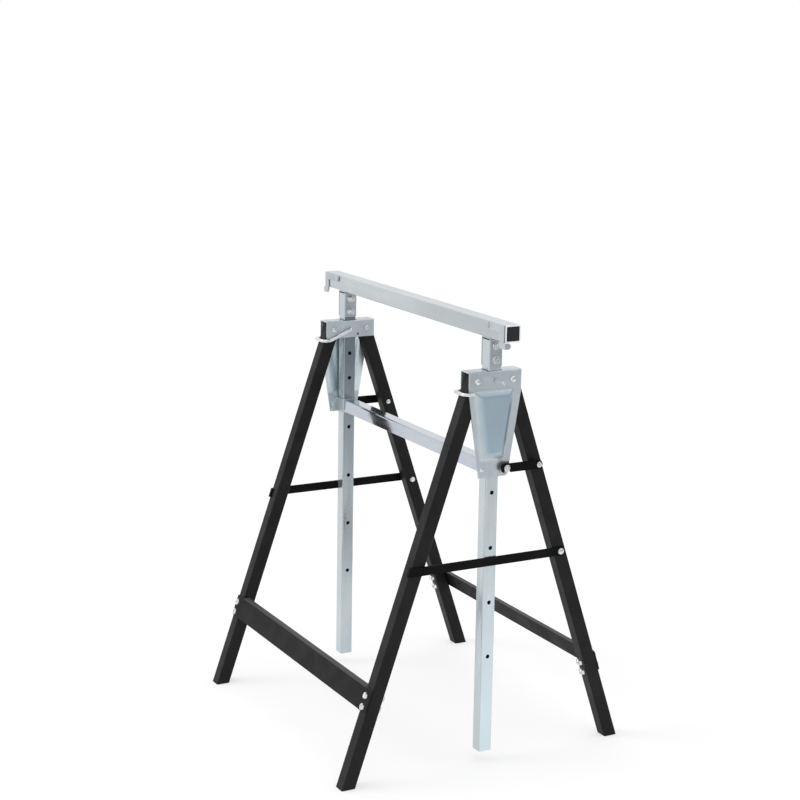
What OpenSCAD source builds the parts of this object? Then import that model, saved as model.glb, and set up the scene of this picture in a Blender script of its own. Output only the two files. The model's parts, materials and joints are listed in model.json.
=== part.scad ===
// Builders trestle: a folding stand with a height-adjustable top bar.
// Sizes in millimetres. The origin is on the floor under the middle of the bar,
// +X runs along the bar, +Y to the rear legs and +Z up.
// The pose drawn is legs spread and bar at its lowest pin hole.

/* [Overall] */
// Length of the top bar
bar_length = 700; // [640:10:900]
// Height of the bar's upper face at the lowest setting
rest_height = 803; // [780:1:860]
// Distance over the feet from front to rear
foot_spread = 570; // [520:2:640]
// Distance from the axis of a post to the end of the bar
bar_overhang = 69; // [66:1:90]

/* [Tubes] */
// Outside width of the square top bar
bar_size = 30; // [28:1:34]
// Outside width of the square posts and legs
tube_size = 25; // [23:0.5:26]
// Wall thickness of all tubes
tube_wall = 1.5; // [1.2:0.1:2]

/* [Height setting] */
// Full step between pin holes, the upper two steps are half of it
hole_pitch = 100; // [90:1:104]
// Diameter of the rod that the locking pins are bent from
pin_d = 6.5; // [5.5:0.1:7]

/* [Heads] */
// Width of the heads from front to rear
head_width = 104; // [102:1:112]
// Height of the outer plate of the heads
head_height = 188; // [182:1:196]
// Distance between the front and rear leg pivots
pivot_spacing = 71; // [70:0.5:74]
// Thickness of the pressed sheet
sheet = 2; // [1.8:0.1:2.2]
// Depth of the pocket pressed into the outer plate
pocket_depth = 5; // [3:0.5:5.5]

/* [Rails, straps and links] */
// Height of the lower rails above the floor
rail_height = 148; // [130:1:180]
// Width of the face of the lower rails
rail_width = 41; // [38:1:48]
// Height of the spreader straps above the floor
strap_height = 374; // [340:1:410]
// Width of the flat bar of the straps and links
flat_width = 16; // [14:1:17]
// Thickness of the flat bar of the straps and links
flat_thick = 3; // [2.5:0.1:3.5]

/* [Stops] */
// Distance from a stop's pivot to the end of the bar
stop_reach = 56; // [50:1:60]

/* [Hidden] */
$fn = 40;

// Colours
zinc = [0.76, 0.79, 0.82];
bright = [0.88, 0.89, 0.9];
black = [0.11, 0.11, 0.12];
plastic = [0.06, 0.06, 0.07];

// Clearances
slide_play = 0.5;
seat_gap = 0.3;
turn_play = 0.075;
press_play = 0.05;
top_slot_play = 2.5;

// Levels of the upper frame
post_spacing = bar_length - 2 * bar_overhang;
post_x = post_spacing / 2;
half_tube = tube_size / 2;
tube_radius = 2.5;
bar_bottom = rest_height - bar_size;
bar_mid = rest_height - bar_size / 2;
bar_end = bar_length / 2;
bracket_sheet = 2.5;
bracket_drop = 58;
bracket_foot_gap = 7;
bracket_width = tube_size - 1;
bracket_bolt_low = 18;
bracket_bolt_step = 25.5;
post_floor_gap = 21;
post_top_gap = 2;
post_top = bar_bottom - bracket_sheet - post_top_gap;

// Levels of the heads
pin_depth = 17;
flange_depth = 34;
taper_depth = 40;
head_top = bar_bottom - bracket_drop;
head_bottom = head_top - head_height;
pin_z = head_top - pin_depth;
flange_bottom = head_top - flange_depth;
taper_top = head_top - taper_depth;
half_head = head_width / 2;
half_foot = 29.5;
inner_half = half_tube + slide_play;
outer_half = inner_half + sheet;
plate_in = post_x + inner_half;
plate_out = post_x + outer_half;
flange_out = post_x - outer_half;
bend_radius = sheet + 1;

// Pocket pressed into the outer plate
pocket_rise = 31;
pocket_margin = 11;
pocket_low_margin = 6.5;
pocket_run = 11;
pocket_top = flange_bottom + 1;
pocket_bottom = head_bottom + pocket_rise;
pocket_half_top = half_head - pocket_margin;
pocket_half_bottom = half_foot - pocket_low_margin;
pocket_mid = (pocket_top + pocket_bottom) / 2;
pocket_half_mid = (pocket_half_top + pocket_half_bottom) / 2;
pocket_taper = atan((pocket_half_top - pocket_half_bottom) / (pocket_top - pocket_bottom));

// Guides and cross rail at the lower end of the heads
guide_height = 28;
guide_bottom = head_bottom + 1;
guide_top = guide_bottom + guide_height;
guide_reach = 29;
rivet_y = 23;
rivet_rise = 15;
rivet_z = head_bottom + rivet_rise;
rivet_d = 5;
stud_d = 8;
cross_rail_rise = 4;
cross_rail_drop = 1;
rail_top = guide_top - cross_rail_drop;
rail_low = head_bottom + cross_rail_rise;
rail_half = inner_half;

// Legs
pivot_y = pivot_spacing / 2;
bolt_d = 8;
bolt_head = 13;
leg_over = 10;
foot_arm = foot_spread / 2 - pivot_y;
foot_radius = sqrt(foot_arm * foot_arm + pin_z * pin_z);
splay = acos(half_tube / foot_radius) - atan2(pin_z, foot_arm);
leg_length = pin_z / cos(splay) + 2 * tube_size;
rail_along = (pin_z - rail_height) / cos(splay);
strap_along = (pin_z - strap_height) / cos(splay);
link_z = rivet_z;
link_along = (pin_z - link_z) / cos(splay);
link_y = pivot_y + (pin_z - link_z) * tan(splay);
strap_y = pivot_y + (pin_z - strap_height) * tan(splay);
rail_sheet = 2;
rail_flange = 12;
rail_bend = 1.5;
rail_corner = 4;
rail_end_gap = 1;
rail_bolt_step = 10;
rail_bolt_drop = 2;

// Straps and links
strap_in = post_x + half_tube + seat_gap;
strap_out = strap_in + flat_thick;
link_in = plate_out + pocket_depth + 2 * seat_gap;
link_out = link_in + flat_thick;
link_bolt_d = 6;
collar_d = 10;
hook_radius = flat_width / 2 + 1;
hook_nose = 2.5;
notch_play = 0.4;
notch_radius = stud_d / 2 + notch_play;
notch_lead = 7;
stud_head = 2;
stud_head_d = stud_d + 4;
stud_out = link_out + seat_gap + stud_head;
lip_reach = 9;
lip_bend = 1.5;

// Stops on the bar's front face
stop_sheet = 2;
stop_pivot_x = bar_end - stop_reach;
stop_half = 7;
stop_pivot_z = rest_height - stop_half;
stop_rivet_d = 6;
stop_inset = 2;
stop_outer = bar_end - stop_inset;
stop_leg_width = 15;
stop_tab_out = 3;
stop_tab_x = bar_end + stop_tab_out;
stop_tab_width = 10.5;
stop_tab_top = bar_bottom - seat_gap;
stop_low = stop_tab_top - stop_tab_width;
stop_tab_depth = 9.5;
stop_back = -bar_size / 2 - seat_gap;
stop_front = stop_back - stop_sheet;

// Locking pins bent from rod
rod = pin_d / 2;
hole_d = pin_d + 1;
pin_bend = rod + 1;
rod_inner_x = flange_out - pin_bend - seat_gap;
rod_outer_x = plate_out + rod + seat_gap;
rod_reach = 30;
rod_tip_x = plate_out + rod_reach;
rod_end_gap = 2.5;
rod_drop = 20.5;
rod_corner_y = 46;
rod_front_y = half_head + 10;
rod_end_y = pocket_half_top + rod_end_gap;
rod_bend = rod + 5.75;
rod_slope = atan(rod_drop / rod_corner_y);
rod_diagonal = rod_corner_y / cos(rod_slope);
rod_z = pin_z - rod_drop;

// Pin holes down the post, counted from the lowest setting
hole_steps = [0, 0.5, 1, 2, 3, 4, 5];

// Flat shapes
module rounded_square(wide, deep, radius) {
    square([wide - 2 * radius, deep], center = true);
    square([wide, deep - 2 * radius], center = true);
    for (sx = [-1, 1]) {
        for (sy = [-1, 1]) {
            translate([sx * (wide / 2 - radius), sy * (deep / 2 - radius)])
                circle(r = radius);
        }
    }
}

module tube_section(size) {
    difference() {
        rounded_square(size, size, tube_radius);
        rounded_square(size - 2 * tube_wall, size - 2 * tube_wall, tube_radius - tube_wall / 2);
    }
}

// A folded strip with its open side down: half width, top, bottom and sheet
module folded_section(half, top, bottom, thick, radius) {
    tall = top - bottom;
    difference() {
        translate([0, top - tall])
            rounded_square(2 * half, 2 * tall, radius);
        translate([0, top - thick - tall])
            rounded_square(2 * (half - thick), 2 * tall, radius - thick + 0.5);
        translate([-2 * half, bottom - 3 * tall])
            square([4 * half, 3 * tall]);
    }
}

// Shapes set on edge
module along_x(start, length) {
    translate([start, 0, 0])
        rotate([90, 0, 90])
            linear_extrude(length)
                children();
}

module along_y(start, length) {
    translate([0, start + length, 0])
        rotate([90, 0, 0])
            linear_extrude(length)
                children();
}

module rod_x(x0, x1, y, z, diameter) {
    translate([x0, y, z])
        rotate([0, 90, 0])
            cylinder(d = diameter, h = x1 - x0);
}

module hex_x(x0, x1, y, z, across) {
    translate([x0, y, z])
        rotate([0, 90, 0])
            cylinder(d = across / cos(30), h = x1 - x0, $fn = 6);
}

module rod_y(y0, y1, x, z, diameter) {
    translate([x, y0, z])
        rotate([-90, 0, 0])
            cylinder(d = diameter, h = y1 - y0);
}

module hex_y(y0, y1, x, z, across) {
    translate([x, y0, z])
        rotate([-90, 0, 0])
            cylinder(d = across / cos(30), h = y1 - y0, $fn = 6);
}

module both_sides() {
    children();
    mirror([1, 0, 0])
        children();
}

module to_front() {
    mirror([0, 1, 0])
        children();
}

// Heads: one folded and pressed sheet each
module plate_outline() {
    corner = 6;
    polygon([
        [-half_head, head_top - 10],
        [-half_head, taper_top],
        [-half_foot, head_bottom],
        [half_foot - corner, head_bottom],
        [half_foot, head_bottom + corner],
        [half_head, taper_top],
        [half_head, head_top - 10]
    ]);
    translate([half_foot - corner, head_bottom + corner])
        circle(r = corner);
}

module pocket_side(x0, inset) {
    translate([x0, pocket_half_mid - inset, pocket_mid])
        rotate([-pocket_taper, 0, 0])
            translate([0, 0, -head_height])
                linear_extrude(2 * head_height)
                    polygon([
                        [-sheet, -4 * head_width],
                        [-sheet, 0],
                        [0, 0],
                        [pocket_depth, -pocket_run],
                        [pocket_depth, -4 * head_width]
                    ]);
}

module pocket_form(x0, inset) {
    intersection() {
        translate([x0, 0, 0])
            along_y(-head_width, 2 * head_width)
                polygon([
                    [-sheet, pocket_bottom + inset],
                    [0, pocket_bottom + inset],
                    [pocket_depth, pocket_bottom + inset + pocket_run],
                    [pocket_depth, pocket_top - inset - pocket_run],
                    [0, pocket_top - inset],
                    [-sheet, pocket_top - inset]
                ]);
        pocket_side(x0, inset);
        to_front()
            pocket_side(x0, inset);
    }
}

module right_head_sheet() {
    difference() {
        union() {
            translate([post_x, 0, 0])
                along_y(-half_head, head_width)
                    folded_section(outer_half, head_top, flange_bottom, sheet, bend_radius);
            along_x(plate_in, sheet)
                plate_outline();
            pocket_form(plate_out, 0);
        }
        pocket_form(plate_in, sheet * 0.6);
        translate([post_x - inner_half - 0.2, -half_tube - top_slot_play, head_top - 2 * sheet])
            cube([2 * inner_half + 0.4, tube_size + 2 * top_slot_play, 4 * sheet]);
        for (sy = [-1, 1]) {
            rod_x(flange_out - 1, plate_out + 1, sy * pivot_y, pin_z, bolt_d + 2 * press_play);
        }
        rod_x(flange_out - 1, plate_out + 1, 0, pin_z, pin_d + 2 * seat_gap);
        rod_x(flange_out - 1, post_x, pivot_y - 19, pin_z - 11, 4.5);
        rod_x(plate_in - 1, plate_out + 1, -rivet_y, rivet_z, rivet_d + 2 * press_play);
        rod_x(plate_in - 1, plate_out + 1, rivet_y, rivet_z, stud_d + 2 * press_play);
    }
}

module right_head() {
    color(zinc)
        right_head_sheet();
}

module left_head() {
    color(zinc)
        mirror([1, 0, 0])
            right_head_sheet();
}

// Guides that wrap the posts at the lower end of the heads
module right_guide_sheet() {
    difference() {
        translate([0, 0, guide_bottom])
            linear_extrude(guide_top - guide_bottom)
                union() {
                    difference() {
                        translate([post_x, 0])
                            rounded_square(2 * outer_half, 2 * outer_half, bend_radius);
                        translate([post_x, 0])
                            rounded_square(2 * inner_half, 2 * inner_half, bend_radius - sheet + 0.5);
                        translate([plate_in - sheet - 1, -2 * outer_half])
                            square([4 * outer_half, 4 * outer_half]);
                    }
                    for (sy = [-1, 1]) {
                        translate([plate_in - sheet - 2, sy * (inner_half + sheet / 2) - sheet / 2])
                            square([sheet + 2, sheet]);
                        translate([plate_in - sheet, sy > 0 ? inner_half : -guide_reach])
                            square([sheet, guide_reach - inner_half]);
                    }
                }
        rod_x(plate_in - 9, plate_in + 1, -rivet_y, rivet_z, rivet_d + 2 * press_play);
        rod_x(plate_in - 9, plate_in + 1, rivet_y, rivet_z, stud_d + 2 * press_play);
    }
}

module right_guide() {
    color(zinc)
        right_guide_sheet();
}

module left_guide() {
    color(zinc)
        mirror([1, 0, 0])
            right_guide_sheet();
}

// Folded rail between the two guides
module cross_rail() {
    color(zinc)
        along_x(-flange_out, 2 * flange_out)
            folded_section(rail_half, rail_top, rail_low, sheet, bend_radius);
}

// Rivets through the front corners of the heads
module guide_rivets() {
    color(bright)
        both_sides() {
            rod_x(plate_in - sheet - 1.5, plate_out + 2, -rivet_y, rivet_z, rivet_d);
            rod_x(plate_out, plate_out + 2, -rivet_y, rivet_z, rivet_d + 4);
            rod_x(plate_in - sheet - 1.5, plate_in - sheet, -rivet_y, rivet_z, rivet_d + 3);
        }
}

// Studs that the links hook over
module link_studs() {
    color(bright)
        both_sides() {
            rod_x(plate_in - sheet - 1.5, stud_out, rivet_y, rivet_z, stud_d);
            rod_x(plate_in - sheet - 1.5, plate_in - sheet, rivet_y, rivet_z, stud_d + 2);
            rod_x(link_out + seat_gap, stud_out, rivet_y, rivet_z, stud_head_d);
        }
}

// Bolts that the legs turn on
module leg_pivot_bolts() {
    color(bright)
        both_sides() {
            for (sy = [-1, 1]) {
                rod_x(flange_out - 5, plate_out + 3.5, sy * pivot_y, pin_z, bolt_d);
                rod_x(plate_out, plate_out + 3.5, sy * pivot_y, pin_z, bolt_d + 3.5);
                hex_x(flange_out - 4, flange_out, sy * pivot_y, pin_z, bolt_head - 2);
            }
        }
}

// Top bar
module top_bar() {
    color(zinc)
        difference() {
            translate([0, 0, bar_mid])
                along_x(-bar_end, bar_length)
                    tube_section(bar_size);
            both_sides()
                rod_y(-bar_size, 0, stop_pivot_x, stop_pivot_z, stop_rivet_d + 2 * press_play);
        }
}

module bar_end_caps() {
    inner = bar_size - 2 * tube_wall - 2 * press_play;
    color(plastic)
        both_sides()
            translate([0, 0, bar_mid])
                along_x(bar_end - 6, 5.6)
                    rounded_square(inner, inner, tube_radius - tube_wall / 2);
}

// Inverted brackets that join the bar to the posts
module right_bracket_sheet() {
    difference() {
        translate([post_x, 0, 0])
            along_y(-bracket_width / 2, bracket_width)
                folded_section(
                    half_tube + bracket_sheet, bar_bottom, head_top + bracket_foot_gap,
                    bracket_sheet, bracket_sheet + 1.5
                );
        bracket_bolt_holes(bolt_d + 2 * press_play);
    }
}

function bracket_bolt_z(step) = head_top + bracket_bolt_low + bracket_bolt_step * step;

module bracket_bolt_holes(diameter) {
    for (step = [0, 1]) {
        rod_x(post_x - 2 * tube_size, post_x + 2 * tube_size, 0, bracket_bolt_z(step), diameter);
    }
}

module right_bracket() {
    color(zinc)
        right_bracket_sheet();
}

module left_bracket() {
    color(zinc)
        mirror([1, 0, 0])
            right_bracket_sheet();
}

module bracket_bolts() {
    face = half_tube + bracket_sheet;
    color(bright)
        both_sides() {
            for (step = [0, 1]) {
                rod_x(post_x - face - 9, post_x + face + 1, 0, bracket_bolt_z(step), bolt_d);
                hex_x(post_x + face + 1.2, post_x + face + 6, 0, bracket_bolt_z(step), bolt_head - 1);
                rod_x(post_x + face, post_x + face + 1.2, 0, bracket_bolt_z(step), bolt_head + 2);
                rod_x(post_x - face - 1.2, post_x - face, 0, bracket_bolt_z(step), bolt_head + 2);
                hex_x(post_x - face - 7.2, post_x - face - 1.2, 0, bracket_bolt_z(step), bolt_head - 1);
            }
        }
}

// Posts with a row of pin holes
module right_post_tube() {
    difference() {
        translate([post_x, 0, post_floor_gap])
            linear_extrude(post_top - post_floor_gap)
                tube_section(tube_size);
        for (step = hole_steps) {
            rod_x(post_x - tube_size, post_x + tube_size, 0, pin_z - step * hole_pitch, hole_d);
        }
        bracket_bolt_holes(bolt_d + 2 * press_play);
    }
}

module right_post() {
    color(zinc)
        right_post_tube();
}

module left_post() {
    color(zinc)
        mirror([1, 0, 0])
            right_post_tube();
}

// Swinging stops at the ends of the bar
module stop_rivets() {
    color(bright)
        both_sides() {
            rod_y(stop_front - 2.5, -bar_size / 2 + tube_wall + 1, stop_pivot_x, stop_pivot_z, stop_rivet_d);
            rod_y(stop_front - 2.5, stop_front - seat_gap, stop_pivot_x, stop_pivot_z, stop_rivet_d + 5);
        }
}

module stop_outline() {
    corner = 5;
    translate([stop_pivot_x, stop_pivot_z])
        circle(r = stop_half);
    translate([stop_pivot_x, stop_pivot_z - stop_half])
        square([stop_outer - stop_pivot_x, 2 * stop_half]);
    translate([stop_outer - stop_leg_width, stop_low + corner])
        square([stop_leg_width, stop_pivot_z - stop_low - corner]);
    translate([stop_outer - stop_leg_width + corner, stop_low])
        square([stop_tab_x - stop_outer + stop_leg_width - corner, stop_tab_width]);
    translate([stop_outer - stop_leg_width + corner, stop_low + corner])
        circle(r = corner);
}

module right_stop_sheet() {
    tab_half = (stop_tab_top - stop_low) / 2;
    difference() {
        union() {
            along_y(stop_front, stop_sheet)
                stop_outline();
            translate([0, stop_back, stop_low + tab_half])
                along_x(stop_tab_x - stop_sheet, stop_sheet) {
                    translate([-stop_sheet, -tab_half])
                        square([stop_tab_depth - tab_half + stop_sheet, 2 * tab_half]);
                    translate([stop_tab_depth - tab_half, 0])
                        circle(r = tab_half);
                }
        }
        rod_y(stop_front - 1, stop_back + 1, stop_pivot_x, stop_pivot_z, stop_rivet_d + 2 * turn_play);
    }
}

module right_stop() {
    color(zinc)
        right_stop_sheet();
}

module left_stop() {
    color(zinc)
        mirror([1, 0, 0])
            right_stop_sheet();
}

// Leg frame: the rear leg pivots at the origin of this frame and hangs along -Z
module rear_leg_frame() {
    translate([0, pivot_y, pin_z])
        rotate([splay, 0, 0])
            children();
}

module below_floor() {
    translate([-bar_length, -foot_spread, -rest_height])
        cube([2 * bar_length, 2 * foot_spread, rest_height]);
}

module right_rear_leg_tube() {
    difference() {
        rear_leg_frame()
            difference() {
                translate([post_x, 0, leg_over - leg_length])
                    linear_extrude(leg_length)
                        tube_section(tube_size);
                rod_x(post_x - tube_size, post_x + tube_size, 0, 0, bolt_d + 2 * turn_play);
                rod_x(post_x - tube_size, post_x + tube_size, 0, -strap_along, bolt_d + 2 * press_play);
                rod_x(
                    post_x - tube_size, post_x + tube_size, 0, -link_along,
                    link_bolt_d + 2 * press_play
                );
                rail_bolt_holes(bolt_d + 2 * press_play);
            }
        below_floor();
    }
}

module rail_bolt_holes(diameter) {
    for (sz = [-1, 1]) {
        rod_y(
            -tube_size, tube_size, post_x,
            -rail_along - rail_bolt_drop + sz * rail_bolt_step, diameter
        );
    }
}

module right_front_leg_tube() {
    difference() {
        to_front()
            rear_leg_frame()
                difference() {
                    translate([post_x, 0, leg_over - leg_length])
                        linear_extrude(leg_length)
                            tube_section(tube_size);
                    rod_x(post_x - tube_size, post_x + tube_size, 0, 0, bolt_d + 2 * turn_play);
                    rail_bolt_holes(bolt_d + 2 * press_play);
                }
        below_floor();
    }
}

module right_rear_leg() {
    color(black)
        right_rear_leg_tube();
}

module left_rear_leg() {
    color(black)
        mirror([1, 0, 0])
            right_rear_leg_tube();
}

module right_front_leg() {
    color(black)
        right_front_leg_tube();
}

module left_front_leg() {
    color(black)
        mirror([1, 0, 0])
            right_front_leg_tube();
}

module rear_plugs() {
    inner = tube_size - 2 * tube_wall - 2 * press_play;
    both_sides()
        difference() {
            rear_leg_frame()
                translate([post_x, 0, leg_over - leg_length])
                    linear_extrude(leg_length - pin_z / cos(splay) + 8)
                        rounded_square(inner, inner, tube_radius - tube_wall / 2);
            below_floor();
        }
}

module rear_foot_plugs() {
    color(plastic)
        rear_plugs();
}

module front_foot_plugs() {
    color(plastic)
        to_front()
            rear_plugs();
}

// Lower rails: a face over the legs with a flange bent in between them
module rail_section() {
    difference() {
        translate([-rail_flange, -rail_width])
            rounded_square(2 * rail_flange, 2 * rail_width, rail_sheet + rail_bend);
        translate([-rail_flange, -rail_width])
            rounded_square(2 * (rail_flange - rail_sheet), 2 * (rail_width - rail_sheet), rail_bend);
        translate([-4 * rail_flange, -4 * rail_width])
            square([3 * rail_flange, 8 * rail_width]);
        translate([-2 * rail_flange, -4 * rail_width])
            square([4 * rail_flange, 3 * rail_width]);
    }
}

module rail_face(face_half, flange_half) {
    difference() {
        translate([0, -rail_width / 2])
            rounded_square(2 * face_half, rail_width, rail_corner);
        translate([-flange_half, -rail_sheet - rail_bend])
            square([2 * flange_half, rail_width]);
    }
}

module rear_rail_sheet() {
    face_half = post_x + half_tube;
    flange_half = post_x - half_tube - rail_end_gap;
    rail_edge = -rail_along + rail_width / 2;
    rear_leg_frame()
        difference() {
            translate([0, half_tube, rail_edge])
                union() {
                    along_y(0, rail_sheet)
                        rail_face(face_half, flange_half);
                    translate([0, rail_sheet, 0])
                        along_x(-flange_half, 2 * flange_half)
                            rail_section();
                }
            both_sides()
                rail_bolt_holes(bolt_d + 2 * press_play);
        }
}

module rear_rail() {
    color(black)
        rear_rail_sheet();
}

module front_rail() {
    color(black)
        to_front()
            rear_rail_sheet();
}

module rear_bolts() {
    face = half_tube + rail_sheet;
    rear_leg_frame()
        both_sides() {
            for (sz = [-1, 1]) {
                along = -rail_along - rail_bolt_drop + sz * rail_bolt_step;
                rod_y(-half_tube - 8, face + 1, post_x, along, bolt_d);
                hex_y(face, face + 5, post_x, along, bolt_head);
                hex_y(-half_tube - 6, -half_tube, post_x, along, bolt_head);
            }
        }
}

module rear_rail_bolts() {
    color(bright)
        rear_bolts();
}

module front_rail_bolts() {
    color(bright)
        to_front()
            rear_bolts();
}

// Bolts in the rear legs for the straps and links
module strap_bolts() {
    inner_face = post_x - half_tube;
    head_face = strap_out + seat_gap;
    color(bright)
        both_sides() {
            rod_x(inner_face - 7, head_face + 3.5, strap_y, strap_height, bolt_d);
            rod_x(head_face, head_face + 3.5, strap_y, strap_height, bolt_d + 4);
            hex_x(inner_face - 5.5, inner_face, strap_y, strap_height, bolt_head - 1);
        }
}

module link_bolts() {
    inner_face = post_x - half_tube;
    head_face = link_out + seat_gap;
    color(bright)
        both_sides() {
            rod_x(inner_face - 2.5, head_face + 3, link_y, link_z, link_bolt_d);
            rod_x(post_x + half_tube, link_in - seat_gap, link_y, link_z, collar_d);
            rod_x(head_face, head_face + 3, link_y, link_z, link_bolt_d + 5);
            rod_x(inner_face - 2.5, inner_face, link_y, link_z, link_bolt_d + 5);
        }
}

// Spreader straps: flat bar, bent at the front to a lip that lies over the front leg
module lip_section() {
    face = half_tube + seat_gap;
    outer = face + flat_thick;
    difference() {
        translate([post_x, 0])
            rounded_square(2 * outer, 2 * outer, flat_thick + lip_bend);
        translate([post_x, 0])
            rounded_square(2 * face, 2 * face, lip_bend);
        translate([strap_out - lip_reach - 2 * tube_size, -2 * tube_size])
            square([2 * tube_size, 4 * tube_size]);
        translate([post_x - tube_size, -2 * tube_size])
            square([2 * tube_size, 2 * tube_size]);
    }
    translate([strap_in, -foot_spread])
        square([flat_thick, foot_spread + lip_bend]);
}

module strap_outline() {
    translate([-foot_spread, strap_height - flat_width / 2])
        square([foot_spread + strap_y, flat_width]);
    translate([strap_y, strap_height])
        circle(d = flat_width);
}

module right_strap_bar() {
    difference() {
        intersection() {
            along_x(post_x, tube_size)
                strap_outline();
            to_front()
                rear_leg_frame()
                    translate([0, 0, -leg_length])
                        linear_extrude(leg_length)
                            lip_section();
        }
        rod_x(strap_in - 1, strap_out + 1, strap_y, strap_height, bolt_d + 2 * turn_play);
    }
}

module right_strap() {
    color(black)
        right_strap_bar();
}

module left_strap() {
    color(black)
        mirror([1, 0, 0])
            right_strap_bar();
}

// Short links hooked over the studs on the heads
module link_outline() {
    half = flat_width / 2;
    difference() {
        union() {
            translate([rivet_y, link_z - half])
                square([link_y - rivet_y, flat_width]);
            translate([link_y, link_z])
                circle(r = half);
            translate([rivet_y, link_z])
                circle(r = hook_radius);
            translate([rivet_y - hook_nose, link_z])
                circle(r = hook_radius);
            translate([rivet_y - hook_nose, link_z - hook_radius])
                square([hook_nose, 2 * hook_radius]);
        }
        translate([rivet_y, link_z])
            circle(r = notch_radius);
        polygon([
            [rivet_y - notch_radius, link_z],
            [rivet_y - notch_radius, link_z - 2 * hook_radius],
            [rivet_y + notch_radius + notch_lead, link_z - 2 * hook_radius],
            [rivet_y + notch_radius, link_z]
        ]);
    }
}

module right_link_bar() {
    difference() {
        along_x(link_in, flat_thick)
            link_outline();
        rod_x(link_in - 1, link_out + 1, link_y, link_z, link_bolt_d + 2 * turn_play);
    }
}

module right_link() {
    color(black)
        right_link_bar();
}

module left_link() {
    color(black)
        mirror([1, 0, 0])
            right_link_bar();
}

// Locking pins: straight through head and post, then bent round the head's front
module rod_arc(radius, turn) {
    rotate_extrude(angle = turn)
        translate([radius, 0])
            circle(r = rod);
}

module right_pin_rod() {
    straight_front = rod_front_y - rod_bend;
    translate([0, 0, pin_z])
        rotate([rod_slope, 0, 0]) {
            rod_x(rod_inner_x + pin_bend, rod_tip_x, 0, 0, pin_d);
            translate([rod_inner_x + pin_bend, -pin_bend, 0])
                rotate([0, 0, 90])
                    rod_arc(pin_bend, 90);
            rod_y(-rod_diagonal, -pin_bend, rod_inner_x, 0, pin_d);
        }
    translate([rod_inner_x, -rod_corner_y, rod_z])
        sphere(r = rod + press_play);
    rod_y(-straight_front, -rod_corner_y, rod_inner_x, rod_z, pin_d);
    translate([rod_inner_x + rod_bend, -straight_front, rod_z])
        rotate([0, 0, 180])
            rod_arc(rod_bend, 90);
    rod_x(rod_inner_x + rod_bend, rod_outer_x - rod_bend, -rod_front_y, rod_z, pin_d);
    translate([rod_outer_x - rod_bend, -straight_front, rod_z])
        rotate([0, 0, 270])
            rod_arc(rod_bend, 90);
    rod_y(-straight_front, -rod_end_y, rod_outer_x, rod_z, pin_d);
}

module right_lock_pin() {
    color(bright)
        right_pin_rod();
}

module left_lock_pin() {
    color(bright)
        mirror([1, 0, 0])
            right_pin_rod();
}

left_head();
right_head();
left_guide();
right_guide();
cross_rail();
guide_rivets();
link_studs();
leg_pivot_bolts();
top_bar();
bar_end_caps();
left_bracket();
right_bracket();
left_post();
right_post();
bracket_bolts();
stop_rivets();
left_stop();
right_stop();
left_front_leg();
right_front_leg();
front_rail();
front_rail_bolts();
front_foot_plugs();
left_rear_leg();
right_rear_leg();
rear_rail();
rear_rail_bolts();
rear_foot_plugs();
strap_bolts();
link_bolts();
left_strap();
right_strap();
left_link();
right_link();
left_lock_pin();
right_lock_pin();
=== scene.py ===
import json
import math

import bmesh
import bpy
from mathutils import Matrix, Vector


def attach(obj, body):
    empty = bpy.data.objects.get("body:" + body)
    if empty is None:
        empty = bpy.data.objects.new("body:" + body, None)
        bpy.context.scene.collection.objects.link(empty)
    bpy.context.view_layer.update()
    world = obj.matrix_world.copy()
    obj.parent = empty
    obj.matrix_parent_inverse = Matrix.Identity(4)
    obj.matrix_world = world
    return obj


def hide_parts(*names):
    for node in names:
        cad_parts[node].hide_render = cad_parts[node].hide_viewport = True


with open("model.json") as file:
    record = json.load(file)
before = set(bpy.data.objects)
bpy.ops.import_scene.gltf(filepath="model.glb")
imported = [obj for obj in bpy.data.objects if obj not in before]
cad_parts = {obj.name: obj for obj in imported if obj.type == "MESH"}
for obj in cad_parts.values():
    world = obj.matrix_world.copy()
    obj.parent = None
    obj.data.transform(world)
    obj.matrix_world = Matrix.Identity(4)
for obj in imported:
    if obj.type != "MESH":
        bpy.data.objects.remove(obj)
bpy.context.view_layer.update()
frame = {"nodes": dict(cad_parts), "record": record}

# Finishes, as linear colours
BAR_PALE = (0.57, 0.605, 0.615, 1.0)
BAR_LILAC = (0.53, 0.555, 0.59, 1.0)
# Dull tone of the bar's grain, also used as a painted dark reflection on its front face
BAR_DULL_AND_REFLECTION = (0.40, 0.43, 0.44, 1.0)
POST_PALE = (0.60, 0.64, 0.66, 1.0)
POST_BLUE = (0.52, 0.59, 0.63, 1.0)
POST_DULL = (0.39, 0.445, 0.48, 1.0)
# Painted shade on the posts' inner faces, up inside the heads
POST_PAINTED_SHADE = (0.16, 0.195, 0.22, 1.0)
# Painted reflection of the floor on the foot of the posts' outer faces
POST_PAINTED_REFLECTION = (0.66, 0.79, 0.84, 1.0)
RAIL_PALE = (0.55, 0.59, 0.63, 1.0)
RAIL_LILAC = (0.50, 0.53, 0.61, 1.0)
RAIL_BLUE = (0.44, 0.50, 0.57, 1.0)
HEAD_GREY = (0.49, 0.545, 0.575, 1.0)
HEAD_PALE = (0.63, 0.69, 0.72, 1.0)
HEAD_DULL = (0.365, 0.415, 0.45, 1.0)
# Painted light on the shaded inner side of a head's outer plate
HEAD_PAINTED_LIGHT = (0.80, 0.90, 0.94, 1.0)
POCKET_BLUE = (0.345, 0.465, 0.545, 1.0)
# Painted shade in the rear crease of a head's pocket
WALL_PAINTED_SHADE = (0.165, 0.225, 0.275, 1.0)
FITTING_PALE = (0.58, 0.615, 0.635, 1.0)
FITTING_DULL = (0.44, 0.48, 0.51, 1.0)
FITTING_DARK = (0.22, 0.25, 0.28, 1.0)
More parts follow.
